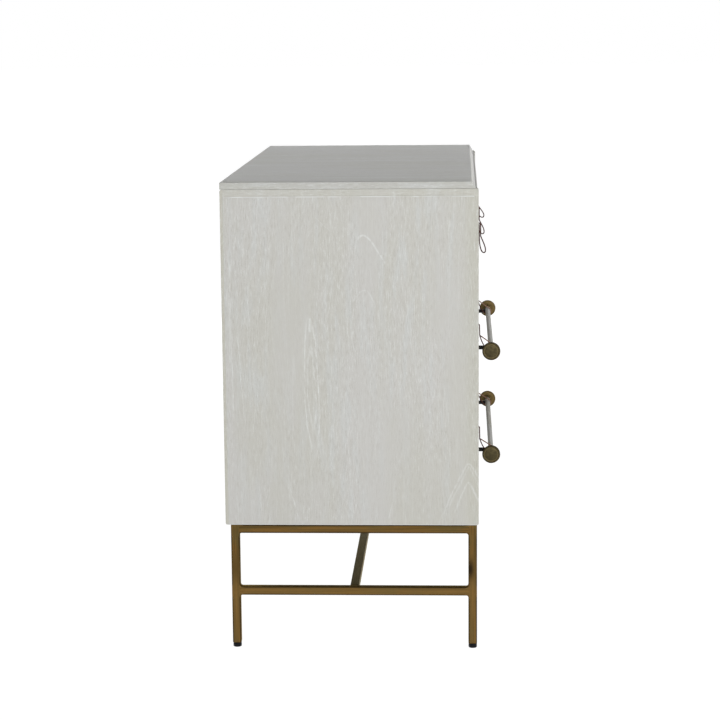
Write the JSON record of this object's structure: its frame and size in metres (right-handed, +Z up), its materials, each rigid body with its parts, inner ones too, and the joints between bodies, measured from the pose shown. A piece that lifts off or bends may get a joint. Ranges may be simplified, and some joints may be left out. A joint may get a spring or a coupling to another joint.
{
  "type": "dresser",
  "caption": "Wood dresser on an open tube base, with small upper drawers on hanging lace loops and wide lower drawers on lashed bar pulls.",
  "frame": {"origin": "on the floor, under the middle of the whole object, pulls included", "axes": "+X to the right of someone facing the drawers, along the width; -Y out of the front; +Z up"},
  "size_m": [1.057, 0.5134, 0.872],
  "materials": {
    "cerused_wood": "grey-white cerused oak veneer, satin, pale lines in the pores",
    "box_wood": "clear lacquered pale hardwood",
    "runner_wood": "bare waxed hardwood",
    "bronze_tube": "mottled aged bronze over square steel tube",
    "aged_brass": "darkened brass with a worn ring",
    "satin_nickel": "satin nickel",
    "black_post": "satin black",
    "black_glide": "matte black",
    "lace_leather": "red-brown round leather lace"
  },
  "bodies": {
    "case": {"side_panel_left": "cerused_wood", "side_panel_right": "cerused_wood", "top_slab": "cerused_wood", "case_floor": "cerused_wood", "back_panel": "cerused_wood", "row_shelf": "cerused_wood", "row_rail": "cerused_wood", "divider_left": "cerused_wood", "divider_right": "cerused_wood", "end_frame_left": "bronze_tube", "end_frame_right": "bronze_tube", "front_rail": "bronze_tube", "back_rail": "bronze_tube", "stretcher": "bronze_tube", "glide_front_left": "black_glide", "glide_front_right": "black_glide", "glide_back_left": "black_glide", "glide_back_right": "black_glide", "small_drawer_left_runner_left": "runner_wood", "small_drawer_left_runner_right": "runner_wood", "small_drawer_middle_runner_left": "runner_wood", "small_drawer_middle_runner_right": "runner_wood", "small_drawer_right_runner_left": "runner_wood", "small_drawer_right_runner_right": "runner_wood", "wide_drawer_upper_runner_left": "runner_wood", "wide_drawer_upper_runner_right": "runner_wood", "wide_drawer_lower_runner_left": "runner_wood", "wide_drawer_lower_runner_right": "runner_wood"},
    "small_drawer_left": {"small_drawer_left_front": "cerused_wood", "small_drawer_left_box": "box_wood", "small_drawer_left_bottom": "box_wood", "small_drawer_left_lace_loop": "lace_leather"},
    "small_drawer_middle": {"small_drawer_middle_front": "cerused_wood", "small_drawer_middle_box": "box_wood", "small_drawer_middle_bottom": "box_wood", "small_drawer_middle_lace_loop": "lace_leather"},
    "small_drawer_right": {"small_drawer_right_front": "cerused_wood", "small_drawer_right_box": "box_wood", "small_drawer_right_bottom": "box_wood", "small_drawer_right_lace_loop": "lace_leather"},
    "wide_drawer_upper": {"wide_drawer_upper_front": "cerused_wood", "wide_drawer_upper_box": "box_wood", "wide_drawer_upper_bottom": "box_wood", "wide_drawer_upper_bar": "satin_nickel", "wide_drawer_upper_bar_disc_left": "aged_brass", "wide_drawer_upper_bar_post_left": "black_post", "wide_drawer_upper_bar_lace_left": "lace_leather", "wide_drawer_upper_bar_disc_right": "aged_brass", "wide_drawer_upper_bar_post_right": "black_post", "wide_drawer_upper_bar_lace_right": "lace_leather"},
    "wide_drawer_lower": {"wide_drawer_lower_front": "cerused_wood", "wide_drawer_lower_box": "box_wood", "wide_drawer_lower_bottom": "box_wood", "wide_drawer_lower_bar": "satin_nickel", "wide_drawer_lower_bar_disc_left": "aged_brass", "wide_drawer_lower_bar_post_left": "black_post", "wide_drawer_lower_bar_lace_left": "lace_leather", "wide_drawer_lower_bar_disc_right": "aged_brass", "wide_drawer_lower_bar_post_right": "black_post", "wide_drawer_lower_bar_lace_right": "lace_leather"}
  },
  "joints": [
    {"name": "small_drawer_left_slide", "type": "slide", "parent": "case", "child": "small_drawer_left", "axis": [0, -1, 0], "range_m": [0, 0.3]},
    {"name": "small_drawer_middle_slide", "type": "slide", "parent": "case", "child": "small_drawer_middle", "axis": [0, -1, 0], "range_m": [0, 0.3]},
    {"name": "small_drawer_right_slide", "type": "slide", "parent": "case", "child": "small_drawer_right", "axis": [0, -1, 0], "range_m": [0, 0.3]},
    {"name": "wide_drawer_upper_slide", "type": "slide", "parent": "case", "child": "wide_drawer_upper", "axis": [0, -1, 0], "range_m": [0, 0.3]},
    {"name": "wide_drawer_lower_slide", "type": "slide", "parent": "case", "child": "wide_drawer_lower", "axis": [0, -1, 0], "range_m": [0, 0.3]}
  ]
}
